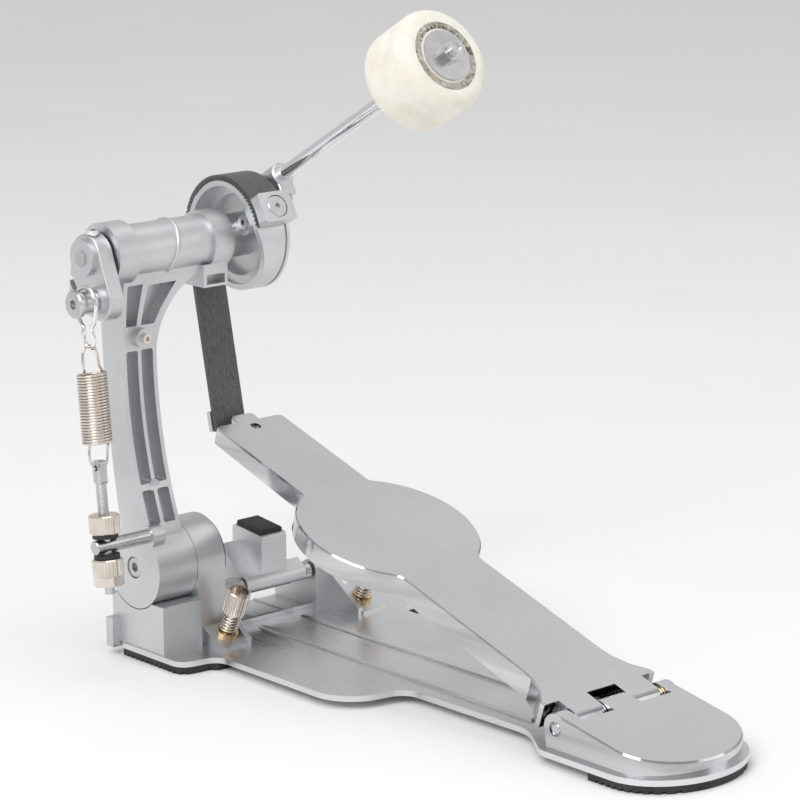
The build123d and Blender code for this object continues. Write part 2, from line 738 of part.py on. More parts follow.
def belt_segment(k):
    # segment 1 is next to the wrap, the last one is next to the free span
    step = unwind / segments
    trim = degrees(seam / 2 / (seat_r + belt_t / 2))
    a1 = seat_start + unwind - (k - 1) * step - trim
    return belt_arc(a1 - step + 2 * trim, a1)


def strap_plane():
    # origin where the belt leaves the wheel, Z down along the belt
    a = radians(seat_start)
    y, z = on_wheel(seat_start, pitch_r)
    return along((wheel_x, y, z), (0, sin(a), -cos(a)))


def belt_strap():
    return strap_plane() * Pos(0, 0, (belt_drop + 6 + seam / 2) / 2) * Box(belt_w, belt_t, belt_drop + 6 - seam / 2)


def strap_clamp():
    plane = strap_plane()
    front = belt_t / 2
    body = plane * Pos(0, -(front + 1.5), belt_drop) * Box(belt_w + 2, 3, 12)
    body = fillet(body.edges().filter_by(Axis.X), 1)
    return body


def clamp_frame():
    # on the belt over the clamp seat: local Z is outward
    a = radians(150)
    y, z = on_wheel(150, seat_r + belt_t)
    return Plane(origin=(wheel_x, y, z), x_dir=(1, 0, 0), z_dir=(0, cos(a), sin(a)))


def clamp_screw_shape(slack):
    return clamp_frame() * Pos(0, 0, -2.4) * Cylinder(2.5 + slack, 14)


def belt_clamp():
    block = clamp_frame() * Pos(0, 0, 2.5) * Box(belt_w + 1, 17.5, 8)
    block = fillet(block.edges().filter_by(lambda e: e.length < 9), 1.6)
    block -= x_cyl(seat_r + belt_t + 0.02, -60, 60, axle_y, axle_z)
    recess = clamp_frame() * Pos(0, 0, 5.9) * Cylinder(6.6, 3)
    return block - clamp_screw_shape(0.0) - recess


def belt_clamp_screw():
    frame = clamp_frame()
    head = frame * Pos(0, 0, 5.5) * Cylinder(6.3, 2.2)
    head = chamfer(head.edges().filter_by(GeomType.CIRCLE), 0.4)
    body = head + clamp_screw_shape(0.0)
    return body - frame * Pos(0, 0, 4.9) * hex_prism(3.0, 5)


def beater_plane():
    # origin at the foot of the perpendicular from the axle, Z out along the shaft
    a = radians(beater_lift)
    d = (0, -cos(a), sin(a))
    n = (0, sin(a), cos(a))
    origin = (beater_x, axle_y + beater_offset * n[1], axle_z + beater_offset * n[2])
    return Plane(origin=origin, x_dir=(1, 0, 0), z_dir=d)


def holder_x():
    return wheel_x + belt_w / 2 + 1.2, beater_x - 2


def beater_holder():
    plane = beater_plane()
    body = rod(plane, boss_r, boss_at - boss_len, boss_at)
    body = chamfer(body.edges().filter_by(GeomType.CIRCLE), 0.9)
    x0, x1 = holder_x()
    lo = plane.from_local_coords((0, 0, boss_at - boss_len))
    hi = plane.from_local_coords((0, 0, boss_at - boss_len + 9))
    web = make_hull(
        (Pos(axle_y, axle_z) * Circle(13)).edges()
        + (Pos(lo.Y, lo.Z) * Circle(5)).edges()
        + (Pos(hi.Y, hi.Z) * Circle(4)).edges()
    )
    body += extrude(Plane.YZ.offset(x0) * web, x1 - x0)
    ear = key_plane() * Pos(0, 0, 5) * Box(11, 11, 14)
    body += fillet(ear.edges().filter_by(lambda e: e.length > 11.5), 2)
    body -= rod(plane, shaft_r + fit, -60, boss_at + 1)
    body -= key_screw_shape()
    return body - x_cyl(axle_r, x0 - 1, x1 + 2, axle_y, axle_z)


def key_screw_shape():
    return key_plane() * Pos(0, 0, 15) * Cylinder(2.5, 30)


def key_plane():
    # drum-key screw: crosses the boss from the heel side
    plane = beater_plane()
    place = plane.from_local_coords((0, 0, boss_at - 6))
    a = radians(beater_lift)
    return Plane(origin=place, x_dir=(1, 0, 0), z_dir=(0, -sin(a), -cos(a)))


def key_screw():
    plane = key_plane()
    body = plane * Pos(0, 0, 8) * Cylinder(2.5, 14)
    body -= rod(beater_plane(), shaft_r + fit, boss_at - boss_len - 1, boss_at + 1)
    head = plane * Pos(0, 0, 14.0) * Cylinder(4.2, 2.6)
    square = plane * Pos(0, 0, 18.0) * Box(5.2, 5.2, 6)
    return body + head + square


def beater_shaft():
    plane = beater_plane()
    start = boss_at - boss_len - 14
    body = rod(plane, shaft_r, start, felt_at + felt_len)
    body = chamfer(body.edges().filter_by(GeomType.CIRCLE), 0.5)
    return body + rod(plane, 3.0, felt_at + felt_len - 1, felt_at + felt_len + 9)


def beater_felt():
    plane = beater_plane()
    body = rod(plane, felt_r, felt_at, felt_at + felt_len)
    body = fillet(body.edges().filter_by(GeomType.CIRCLE), felt_round)
    return body - rod(plane, shaft_r, felt_at - 1, felt_at + felt_len + 1)


def beater_washers():
    plane = beater_plane()
    front = rod(plane, 14.5, felt_at + felt_len, felt_at + felt_len + 1.4)
    front -= rod(plane, 3.0, felt_at, felt_at + felt_len + 5)
    back = rod(plane, 10, felt_at - 1.4, felt_at) - rod(plane, shaft_r, felt_at - 5, felt_at + 1)
    return Compound([front, back])


def beater_nut():
    plane = beater_plane()
    top = felt_at + felt_len + 1.4
    body = plane * Pos(0, 0, top) * hex_prism(10.5, 4.6)
    return body - rod(plane, 3.0, top - 1, top + 6)


# ---- rocker and spring -----------------------------------------------------------------------
def rocker():
    lobe = (Pos(roller_y, roller_z) * Circle(11.5)).edges()
    eye = (Pos(axle_y, axle_z) * Circle(13)).edges()
    far = (Pos(axle_y + 5, axle_z - 20) * Circle(11.5)).edges()
    face = make_hull(eye + lobe + far)
    body = extrude(Plane.YZ.offset(rocker_x0 + 3) * face, rocker_x1 - rocker_x0 - 3)
    body = fillet(body.edges().filter_by(lambda e: abs(e.center().X - rocker_x0 - 3) < 0.01), 1.2)
    body += x_cyl(10.2, rocker_x0, rocker_x0 + 4, axle_y, axle_z)
    body += x_cyl(roller_r + 1.5, rocker_x0, rocker_x0 + 4, roller_y, roller_z)
    hexa = Pos(rocker_x0 - 1.2, axle_y, axle_z) * Rot(0, 90, 0) * hex_prism(8.4, 40)
    body -= hexa
    body -= x_cyl(3.2, rocker_x0 - 1, rocker_x1 + 1, roller_y, roller_z)
    slot = Pos(axle_y + 12, axle_z - 16.5) * Rot(0, 0, 55) * SlotOverall(11, 4)
    body -= extrude(Plane.YZ.offset(rocker_x0) * slot, 9)
    body -= rocker_screw_shape(0.0)
    return body


def rocker_screw_shape(slack):
    return Pos(rocker_x0 + 7, axle_y - 2.0, axle_z + 9.4) * Cylinder(2.6 + slack, 8)


def rocker_screw():
    body = rocker_screw_shape(0.0)
    cup = Pos(rocker_x0 + 7, axle_y - 2.0, axle_z + 14.1) * Cylinder(4.0, 2.2)
    body += cup
    return body - Pos(rocker_x0 + 7, axle_y - 2.0, axle_z + 11.5) * hex_prism(3.0, 5)


def roller_bolt():
    x0 = spring_x - 7.2
    body = x_cyl(3.2, x0, rocker_x1 - 0.5, roller_y, roller_z)
    head = x_cyl(7.8, x0, x0 + 2.4, roller_y, roller_z)
    head = chamfer(head.edges().filter_by(GeomType.CIRCLE).sort_by(Axis.X)[0], 0.7)
    return body + head - Pos(x0, roller_y, roller_z) * Rot(0, 90, 0) * hex_prism(5.0, 3.0)


def roller():
    x0 = spring_x - 4.6
    x1 = rocker_x0 - 0.1
    body = x_cyl(roller_r, x0, x1, roller_y, roller_z)
    body += x_cyl(roller_r + 1.4, x0, x0 + 1.0, roller_y, roller_z)
    return body - x_cyl(3.2 + fit, x0, x1, roller_y, roller_z)


def spring_line():
    # from the pivot on the arm up to the link's eye
    eye_y = roller_y + hook_shift[0]
    eye_z = roller_z + hook_shift[1]
    length = hypot(eye_y - spring_y, eye_z - spring_z)
    d = (0, (eye_y - spring_y) / length, (eye_z - spring_z) / length)
    return Plane(origin=(spring_x, spring_y, spring_z), x_dir=(1, 0, 0), z_dir=d), length


def spring_link():
    plane, length = spring_line()
    eye = roller_r + 1.9
    wire = 1.3
    lower = 22.0
    side = Plane(origin=plane.origin, x_dir=plane.z_dir, z_dir=(1, 0, 0))
    outer = make_hull((Pos(length, 0) * Circle(eye + 2 * wire)).edges() + (Pos(length - lower, 0) * Circle(3.6)).edges())
    inner = make_hull((Pos(length, 0) * Circle(eye)).edges() + (Pos(length - lower, 0) * Circle(1.2)).edges())
    body = side * Pos(0, 0, -wire) * extrude(outer - inner, 2 * wire)
    return fillet(body.edges(), 0.7)


def coil_range():
    plane, length = spring_line()
    return length - 22.0 - 3.6 - 12.5 - coil_wire * 1.08 * coil_turns, length - 22.0 - 3.6 - 12.5


def spring_coil():
    plane, length = spring_line()
    z0, z1 = coil_range()
    pitch = (z1 - z0) / coil_turns
    inner = coil_r - coil_wire
    edges = []
    for i in range(coil_turns):
        z = z0 + i * pitch
        edges.append(ThreePointArc((coil_r - 0.35, z), (coil_r, z + pitch / 2), (coil_r - 0.35, z + pitch)))
    edges += [Line((coil_r - 0.35, z1), (inner, z1)), Line((inner, z1), (inner, z0)), Line((inner, z0), (coil_r - 0.35, z0))]
    tube = revolve(Plane.XZ * make_face(edges), Axis.Z)
    return plane * tube


def spring_ends():
    # hooks at both ends of the coil
    plane, length = spring_line()
    z0, z1 = coil_range()
    body = None
    for z, way, reach in ((z1, 1, 15.6), (z0, -1, 14.0)):
        hook = Pos(0, 0, z + way * (reach / 2 + 1.0)) * Rot(90, 0, 0) * Torus(reach / 2 - 0.75, 0.75)
        cap = Pos(0, 0, z + way * 0.75) * Cylinder(coil_r - 0.6, 1.4)
        cap -= Pos(0, 0, z + way * 0.75) * Cylinder(coil_r - 0.6 - 1.4, 2)
        bar = Pos(0, 0, z + way * 0.75) * Box(2 * coil_r - 2, 1.4, 1.4)
        end = hook + cap + bar
        body = [end] if body is None else body + [end]
    return [plane * part for part in body]


def spring_rod():
    plane, length = spring_line()
    z0, _ = coil_range()
    rod_r = 2.9
    top = z0 - 9.5
    body = Pos(0, 0, (top - 27) / 2) * Cylinder(rod_r, top + 27)
    flat = Pos(0, 0, top - 6.5) * Box(4.4, 7.4, 13)
    body += fillet(flat.edges().filter_by(Axis.X), 1.5)
    hole = Pos(0, 0, top - 4) * Rot(0, 90, 0) * Cylinder(1.7, 12)
    return plane * (body - hole)


def knurled(z0, z1, r, bore):
    plane, _ = spring_line()
    body = Pos(0, 0, (z0 + z1) / 2) * Cylinder(r, z1 - z0)
    body = chamfer(body.edges().filter_by(GeomType.CIRCLE), 0.8)
    for i in range(30):
        body -= Rot(0, 0, i * 12) * Pos(r + 0.15, 0, (z0 + z1) / 2) * Cylinder(0.5, z1 - z0 + 2)
    return plane * (body - Pos(0, 0, (z0 + z1) / 2) * Cylinder(bore, z1 - z0 + 2))


def lock_nut():
    return knurled(7.0, 17.6, nut_r, 2.9 + fit)


def tension_nut():
    plane, _ = spring_line()
    sleeve = Pos(0, 0, -22) * extrude(RegularPolygon(nut_r - 0.2, 10), 13.5)
    body = knurled(-17, -7.0, nut_r, 2.9 + fit) + plane * (sleeve - Pos(0, 0, -22) * Cylinder(2.9 + fit, 60))
    return body


def rubber_washers():
    plane, _ = spring_line()
    rings = []
    for z in (-5.65, 5.65):
        ring = Pos(0, 0, z) * Cylinder(nut_r - 1.5, 2.1) - Pos(0, 0, z) * Cylinder(2.9 + 0.1, 6)
        rings.append(plane * ring)
    return Compound(rings)


def arm_bar():
    plane, _ = spring_line()
    body = x_cyl(arm_bar_r, spring_x - 8.2, block_l + 6, spring_y, spring_z)
    body = chamfer(body.edges().filter_by(GeomType.CIRCLE).sort_by(Axis.X)[0], 0.6)
    return body - plane * Cylinder(2.9 + 0.35, 20)


# ---- output ------------------------------------------------------------------------------------
def main():
    os.makedirs("parts", exist_ok=True)
    export(base_plate(), "base_plate")
    export(front_foot(), "front_foot")
    export(heel_foot(), "heel_foot")
    export(heel_plate(), "heel_plate")
    export(heel_pin(), "heel_pin")
    export(hinge_washers(), "hinge_washers")
    export(Compound([screw_with_socket(x, y) for x, y in bridge_screw_places()]), "bridge_screws")
    export(Compound([screw_with_socket(x, y) for x, y in heel_screw_places()]), "heel_screws")
    export(footboard(), "footboard")
    export(board_screw(), "board_screw")
    export(bridge(), "bridge")
    export(clamp_lever(), "clamp_lever")
    export(clamp_pad(), "clamp_pad")
    export(jaw_pad(), "jaw_pad")
    export(lever_pin(), "lever_pin")
    export(clamp_springs(), "clamp_springs")
    for side, name in ((-1, "left"), (1, "right")):
        export(spur(side), f"spur_{name}")
        export(spur_spring(side), f"spur_spring_{name}")
    export(spur_collars(), "spur_collars")
    export(post(), "post")
    export(post_pin(), "post_pin")
    export(fold_bolt(), "fold_bolt")
    export(hinge_cap(), "hinge_cap")
    export(arm_bar(), "arm_bar")
    export(bearing(collar_l, collar_l + bearing_w), "bearing_left")
    export(bearing(collar_r_x1 - bearing_w, collar_r_x1), "bearing_right")
    export(axle(), "axle")
    export(cam_wheel(), "cam_wheel")
    export(belt_wrap(), "belt_wrap")
    for k in range(1, segments + 1):
        export(belt_segment(k), f"belt_segment_{k}")
    export(belt_strap(), "belt_strap")
    export(strap_clamp(), "strap_clamp")
    export(belt_clamp(), "belt_clamp")
    export(belt_clamp_screw(), "belt_clamp_screw")
    export(beater_holder(), "beater_holder")
    export(key_screw(), "key_screw")
    export(beater_shaft(), "beater_shaft")
    export(beater_felt(), "beater_felt")
    export(beater_washers(), "beater_washers")
    export(beater_nut(), "beater_nut")
    export(rocker(), "rocker")
    export(rocker_screw(), "rocker_screw")
    export(roller_bolt(), "roller_bolt")
    export(roller(), "roller")
    export(spring_link(), "spring_link")
    export(spring_coil(), "spring_coil")
    top_end, bottom_end = spring_ends()
    export(top_end, "spring_hook")
    export(bottom_end, "spring_foot")
    export(spring_rod(), "spring_rod")
    export(lock_nut(), "lock_nut")
    export(tension_nut(), "tension_nut")
    export(rubber_washers(), "rubber_washers")


main()
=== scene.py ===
import json
import math

import bpy
from mathutils import Matrix, Vector


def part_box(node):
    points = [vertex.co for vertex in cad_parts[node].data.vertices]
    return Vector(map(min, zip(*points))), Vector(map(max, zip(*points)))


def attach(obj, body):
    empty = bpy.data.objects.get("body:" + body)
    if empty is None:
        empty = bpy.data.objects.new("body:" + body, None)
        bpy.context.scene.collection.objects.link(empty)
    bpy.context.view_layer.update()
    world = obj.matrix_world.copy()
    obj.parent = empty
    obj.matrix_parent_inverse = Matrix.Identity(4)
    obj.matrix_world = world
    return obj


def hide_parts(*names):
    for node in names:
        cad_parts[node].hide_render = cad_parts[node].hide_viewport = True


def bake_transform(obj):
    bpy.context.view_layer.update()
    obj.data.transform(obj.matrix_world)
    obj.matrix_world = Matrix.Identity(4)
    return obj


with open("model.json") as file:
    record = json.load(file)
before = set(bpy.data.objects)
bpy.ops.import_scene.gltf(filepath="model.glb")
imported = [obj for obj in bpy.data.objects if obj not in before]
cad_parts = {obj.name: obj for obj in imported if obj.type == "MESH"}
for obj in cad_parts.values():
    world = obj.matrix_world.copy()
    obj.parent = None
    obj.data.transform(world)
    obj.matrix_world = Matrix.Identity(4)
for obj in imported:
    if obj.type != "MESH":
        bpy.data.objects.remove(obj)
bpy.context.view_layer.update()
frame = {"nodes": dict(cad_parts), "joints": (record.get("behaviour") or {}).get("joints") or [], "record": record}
bpy.ops.object.select_all(action="DESELECT")
MM = 0.001


# ---- camera ---------------------------------------------------------------------------------
def add_camera(place, right, up, lens):
    data = bpy.data.cameras.new("camera")
    data.lens = lens
    data.sensor_width = 36
    data.clip_start = 0.05
    data.clip_end = 30
    camera = bpy.data.objects.new("camera", data)
    bpy.context.scene.collection.objects.link(camera)
    x = Vector(right).normalized()
    z = x.cross(Vector(up)).normalized()
    y = z.cross(x)
    camera.matrix_world = Matrix.Translation(Vector(place)) @ Matrix((x, y, z)).transposed().to_4x4()
    bpy.context.scene.camera = camera


add_camera(
    place=(-1.11477, -1.36231, 0.54893),
    right=(0.7470425, -0.6647517, -0.0057151),
    up=(0.1552884, 0.1661396, 0.9737983),
    lens=142.621,
)


# ---- material helpers -----------------------------------------------------------------------
def material(name, colour, metallic=0.0, roughness=0.5, sheen=0.0):
    mat = bpy.data.materials.new(name)
    mat.use_nodes = True
    shader = mat.node_tree.nodes["Principled BSDF"]
    shader.inputs["Base Color"].default_value = (*colour, 1)
    shader.inputs["Metallic"].default_value = metallic
    shader.inputs["Roughness"].default_value = roughness
    if sheen:
        shader.inputs["Sheen Weight"].default_value = sheen
        shader.inputs["Sheen Roughness"].default_value = 0.5
    return mat, mat.node_tree, shader


def pattern(tree, scale, stretch=(1, 1, 1), detail=4.0):
    # noise laid in the piece's own coordinates
    coords = tree.nodes.new("ShaderNodeTexCoord")
    mapping = tree.nodes.new("ShaderNodeMapping")
    mapping.inputs["Scale"].default_value = stretch
    texture = tree.nodes.new("ShaderNodeTexNoise")
    texture.inputs["Scale"].default_value = scale
    texture.inputs["Detail"].default_value = detail
    tree.links.new(coords.outputs["Object"], mapping.inputs["Vector"])
    tree.links.new(mapping.outputs["Vector"], texture.inputs["Vector"])
    return texture.outputs["Fac"]


def spread(tree, value, low, high, from_low=0.3, from_high=0.7):
    node = tree.nodes.new("ShaderNodeMapRange")
    node.inputs["From Min"].default_value = from_low
    node.inputs["From Max"].default_value = from_high
    node.inputs["To Min"].default_value = low
    node.inputs["To Max"].default_value = high
    tree.links.new(value, node.inputs["Value"])
    return node.outputs["Result"]


def tint(tree, value, dark, light):
    node = tree.nodes.new("ShaderNodeMix")
    node.data_type = "RGBA"
    node.inputs["A"].default_value = (*dark, 1)
    node.inputs["B"].default_value = (*light, 1)
    tree.links.new(value, node.inputs["Factor"])
    return node.outputs["Result"]


def bump(tree, shader, value, strength, height):
    node = tree.nodes.new("ShaderNodeBump")
    node.inputs["Strength"].default_value = strength
    node.inputs["Distance"].default_value = height
    tree.links.new(value, node.inputs["Height"])
    normal = shader.inputs["Normal"]
    if normal.is_linked:
        tree.links.new(normal.links[0].from_socket, node.inputs["Normal"])
    tree.links.new(node.outputs["Normal"], normal)


def facing(tree, low, high):
    # 1 on faces that look up, 0 on walls and edges
    coords = tree.nodes.new("ShaderNodeTexCoord")
    split = tree.nodes.new("ShaderNodeSeparateXYZ")
    tree.links.new(coords.outputs["Normal"], split.inputs["Vector"])
    return spread(tree, split.outputs["Z"], 0, 1, low, high)


def metal(name, dark, light, rough, cloud=30, grain=900, grain_depth=0.00004, stretch=(1, 1, 1), depth=0.25):
    # base metal: slow clouding in tone, fine grain in bump and roughness
    mat, tree, shader = material(name, light, 1.0, rough[0])
    clouds = spread(tree, pattern(tree, cloud), 0, 1)
    tree.links.new(tint(tree, clouds, dark, light), shader.inputs["Base Color"])
    fine = pattern(tree, grain, stretch, 3.0)
    tree.links.new(spread(tree, fine, rough[0], rough[1]), shader.inputs["Roughness"])
    bump(tree, shader, fine, depth, grain_depth)
    return mat, tree, shader


def paint(mat, node):
    piece = frame["nodes"][node]
    piece.data.materials.clear()
    piece.data.materials.append(mat)


# ---- finishes -------------------------------------------------------------------------------
casting, tree, shader = metal(
    "blasted_casting", (0.60, 0.61, 0.62), (0.70, 0.71, 0.72), (0.36, 0.5), 25, 1400, 0.00006, depth=0.35
)
board, tree, shader = metal(
    "satin_board", (0.74, 0.75, 0.76), (0.82, 0.83, 0.84), (0.24, 0.29), 12, 300, 0.000006, (1, 0.04, 1), 0.06
)
up = facing(tree, 0.80, 0.93)
rough_mix = tree.nodes.new("ShaderNodeMix")
rough_mix.inputs["A"].default_value = 0.10
tree.links.new(up, rough_mix.inputs["Factor"])
tree.links.new(shader.inputs["Roughness"].links[0].from_socket, rough_mix.inputs["B"])
tree.links.new(rough_mix.outputs["Result"], shader.inputs["Roughness"])
# polished sides, with painted reflection: dark streaks along the board painted into the side colour
reflection_streaks = spread(tree, pattern(tree, 60, (0.3, 0.04, 1)), 0, 1)
painted_side_reflection = tint(tree, reflection_streaks, (0.26, 0.27, 0.28), (0.80, 0.81, 0.82))
top_tone = shader.inputs["Base Color"].links[0].from_socket
# walls and edges get the painted dark reflection streaks, top faces keep the metal's own tone
tone = tree.nodes.new("ShaderNodeMix")
tone.data_type = "RGBA"
tree.links.new(up, tone.inputs["Factor"])
tree.links.new(painted_side_reflection, tone.inputs["A"])
tree.links.new(top_tone, tone.inputs["B"])
tree.links.new(tone.outputs["Result"], shader.inputs["Base Color"])
plate, tree, shader = metal(
    "satin_plate", (0.70, 0.71, 0.72), (0.80, 0.81, 0.82), (0.26, 0.34), 18, 500, 0.00001, (1, 0.08, 1), 0.1
)
chrome, tree, shader = metal(
    "chrome", (0.78, 0.79, 0.80), (0.84, 0.85, 0.86), (0.04, 0.09), 40, 600, 0.00001, depth=0.05
)
nickel, tree, shader = metal(
    "nickel", (0.66, 0.59, 0.53), (0.78, 0.71, 0.65), (0.14, 0.26), 120, 1500, 0.00003, depth=0.15
)
steel, tree, shader = metal(
    "zinc_steel", (0.50, 0.50, 0.51), (0.64, 0.64, 0.65), (0.22, 0.36), 90, 1800, 0.00003, depth=0.2
)
brass, tree, shader = metal("brass", (0.66, 0.46, 0.24), (0.80, 0.61, 0.36), (0.15, 0.28), 150, 1500, 0.00002)

rubber, tree, shader = material("rubber", (0.022, 0.022, 0.024), roughness=0.6)
fine = pattern(tree, 1200)
clouds = spread(tree, pattern(tree, 80), 0, 1)
tone = tint(tree, clouds, (0.015, 0.015, 0.016), (0.035, 0.035, 0.037))
tree.links.new(tone, shader.inputs["Base Color"])
tree.links.new(spread(tree, fine, 0.5, 0.75), shader.inputs["Roughness"])
bump(tree, shader, fine, 0.4, 0.00008)

belting, tree, shader = material("belting", (0.03, 0.03, 0.032), roughness=0.5)
weave = pattern(tree, 900, (1, 1, 0.25))
tone = tint(tree, spread(tree, weave, 0, 1), (0.05, 0.05, 0.054), (0.12, 0.12, 0.125))
tree.links.new(tone, shader.inputs["Base Color"])
tree.links.new(spread(tree, weave, 0.38, 0.55), shader.inputs["Roughness"])
bump(tree, shader, weave, 0.35, 0.00008)

felt, tree, shader = material("felt", (0.86, 0.82, 0.73), roughness=0.95, sheen=0.35)
fibres = pattern(tree, 420, detail=8.0)
clumps = pattern(tree, 70, detail=5.0)
tone = tint(tree, spread(tree, clumps, 0, 1), (0.78, 0.73, 0.63), (0.90, 0.87, 0.79))
tree.links.new(tone, shader.inputs["Base Color"])
bump(tree, shader, fibres, 0.6, 0.0006)
bump(tree, shader, clumps, 0.35, 0.0015)

black, tree, shader = material("black_plastic", (0.02, 0.02, 0.02), roughness=0.45)
fine = pattern(tree, 1500)
tree.links.new(spread(tree, fine, 0.38, 0.55), shader.inputs["Roughness"])
bump(tree, shader, fine, 0.2, 0.00004)

FINISHES = {
    "casting": casting,
    "board": board,
    "plate": plate,
    "chrome": chrome,
    "nickel": nickel,
    "steel": steel,
    "brass": brass,
    "rubber": rubber,
    "belt": belting,
    "felt": felt,
    "black": black,
}
for part in frame["record"]["subparts"]:
    paint(FINISHES[part["material_slot"]], part["node"])


# ---- piece helpers --------------------------------------------------------------------------
def clear_selection():
    if bpy.context.mode != "OBJECT":
        bpy.ops.object.mode_set(mode="OBJECT")
    bpy.ops.object.select_all(action="DESELECT")


def start(name):
    # the primitive that was just added, with its place moved into its mesh
    piece = bpy.context.active_object
    piece.name = name
    bpy.ops.object.transform_apply(location=True, rotation=True, scale=True)
    return piece


def only(piece):
    clear_selection()
    piece.select_set(True)
    bpy.context.view_layer.objects.active = piece


def pick(piece, test, faces=True):
    # select faces (or edges) by their place or normal, and stay in edit mode
    only(piece)
    bpy.ops.object.mode_set(mode="EDIT")
    bpy.ops.mesh.select_mode(type="FACE" if faces else "EDGE")
    bpy.ops.mesh.select_all(action="DESELECT")
    bpy.ops.object.mode_set(mode="OBJECT")
    for item in piece.data.polygons if faces else piece.data.edges:
        item.select = test(item)
    bpy.ops.object.mode_set(mode="EDIT")


def modify(piece, kind, **settings):
    only(piece)
    modifier = piece.modifiers.new(kind.lower(), kind)
    for key, value in settings.items():
        setattr(modifier, key, value)
    bpy.ops.object.modifier_apply(modifier=modifier.name)


def close_up(piece):
    only(piece)
    bpy.ops.object.mode_set(mode="EDIT")
    bpy.ops.mesh.select_all(action="SELECT")
    bpy.ops.mesh.remove_doubles(threshold=0.000005)
    bpy.ops.mesh.normals_make_consistent(inside=False)
    bpy.ops.object.mode_set(mode="OBJECT")


def smooth(piece, angle=35):
    only(piece)
    bpy.ops.object.shade_smooth_by_angle(angle=math.radians(angle))


def move_to(piece, place, z_axis, x_axis=(1, 0, 0)):
    # turn a piece made at the origin so that its Z is z_axis, then carry it to its place
    z = Vector(z_axis).normalized()
    x = (Vector(x_axis) - z * Vector(x_axis).dot(z)).normalized()
    y = z.cross(x)
    turn = Matrix((x, y, z)).transposed().to_4x4()
    piece.matrix_world = Matrix.Translation(Vector(place)) @ turn
    only(piece)
    bpy.ops.object.transform_apply(location=True, rotation=True, scale=True)


def finish(piece, mat, slot, body, *nodes):
    piece.data.materials.clear()
    piece.data.materials.append(mat)
    if body:
        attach(piece, body)
    if nodes:
        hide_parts(*nodes)


def joint(name):
    return next(j for j in frame["joints"] if j["name"] == name)


def middle(node):
    low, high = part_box(node)
    return (low + high) / 2


# ---- springs --------------------------------------------------------------------------------
def helix(name, mean, wire, pitch, turns, steps=32, sides=10):
    # a wire section screwed up the Z axis from the origin
    bpy.ops.mesh.primitive_circle_add(
        vertices=sides, radius=wire, location=(mean, 0, 0), rotation=(math.pi / 2, 0, 0)
    )
    piece = start(name)
    modify(
        piece,
        "SCREW",
        axis="Z",
        angle=2 * math.pi,
        screw_offset=pitch,
        iterations=int(turns),
        steps=steps,
        render_steps=steps,
    )
    close_up(piece)
    # close both ends of the wire
    pick(piece, lambda edge: False, faces=False)
    bpy.ops.mesh.select_non_manifold()
    bpy.ops.mesh.edge_face_add()
    bpy.ops.object.mode_set(mode="OBJECT")
    smooth(piece, 60)
    return piece


def wire(name, points, radius, closed=False, sides=5):
    # a bent wire through the points, as a mesh
    data = bpy.data.curves.new(name, "CURVE")
    data.dimensions = "3D"
    line = data.splines.new("NURBS")
    line.points.add(len(points) - 1)
    for point, place in zip(line.points, points):
        point.co = (*place, 1)
    line.use_cyclic_u = closed
    line.order_u = 3
    line.use_endpoint_u = not closed
    line.resolution_u = 8
    data.bevel_depth = radius
    data.bevel_resolution = sides
    data.use_fill_caps = True
    curve = bpy.data.objects.new(name, data)
    bpy.context.scene.collection.objects.link(curve)
    only(curve)
    bpy.ops.object.convert(target="MESH")
    piece = bpy.context.active_object
    close_up(piece)
    smooth(piece, 60)
    return piece


rod_axis = Vector(joint("spring_stretch")["axis"]).normalized()
rod_foot = Vector(joint("spring_swing")["pos_m"])


def rod_place(x, y, z):
    # millimetres across, across and along the spring rod
    across = rod_axis.cross(Vector((1, 0, 0)))
    return rod_foot + Vector((1, 0, 0)) * x * MM + across * y * MM + rod_axis * z * MM


# places along the spring rod, in millimetres from its pivot
eye_at = 134.25
link_end = eye_at - 22.0
hook_length = 3.6 + 12.5
coil_top = link_end - hook_length
coil_wire = 0.75
coil_pitch = 1.62
coil_turns = 24
coil_bottom = coil_top - coil_turns * coil_pitch
coil_mean = 7.75
coil = helix("spring_helix", coil_mean * MM, coil_wire * MM, coil_pitch * MM, coil_turns)
move_to(coil, rod_place(0, 0, coil_bottom), rod_axis)
finish(coil, nickel, "nickel", None, "spring_coil")
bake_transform(coil)


def hook_points(base, way, reach, half):
    # out of the coil's rim, over to the middle, round a tall loop and back to the rim
    return [
        rod_place(7.6, 1.5, base),
        rod_place(7.0, -1, base + way * 1.2),
        rod_place(half, 0, base + way * 3.5),
        rod_place(half * 0.95, 0, base + way * (reach - 3.5)),
        rod_place(half * 0.4, 0, base + way * reach),
        rod_place(-half * 0.4, 0, base + way * reach),
        rod_place(-half * 0.95, 0, base + way * (reach - 3.5)),
        rod_place(-half, 0, base + way * 3.5),
        rod_place(-half * 0.8, 0.5, base + way * 1.0),
    ]


top_hook = wire("spring_top_hook", hook_points(coil_top, 1, 15.2, 5.2), coil_wire * MM)
finish(top_hook, nickel, "nickel", "spring_link", "spring_hook")
low_hook = wire("spring_low_hook", hook_points(coil_bottom, -1, 14.4, 6.2), coil_wire * MM)
finish(low_hook, nickel, "nickel", "spring_rod", "spring_foot")


def link_point(side, drop, out):
    # the link's wire, seen along the axle: drop is measured down the rod from the roller's centre
    across = rod_axis.cross(Vector((1, 0, 0)))
    eye = rod_place(0, 0, eye_at)
    return eye + across * out * MM - rod_axis * drop * MM + Vector((side * MM, 0, 0))


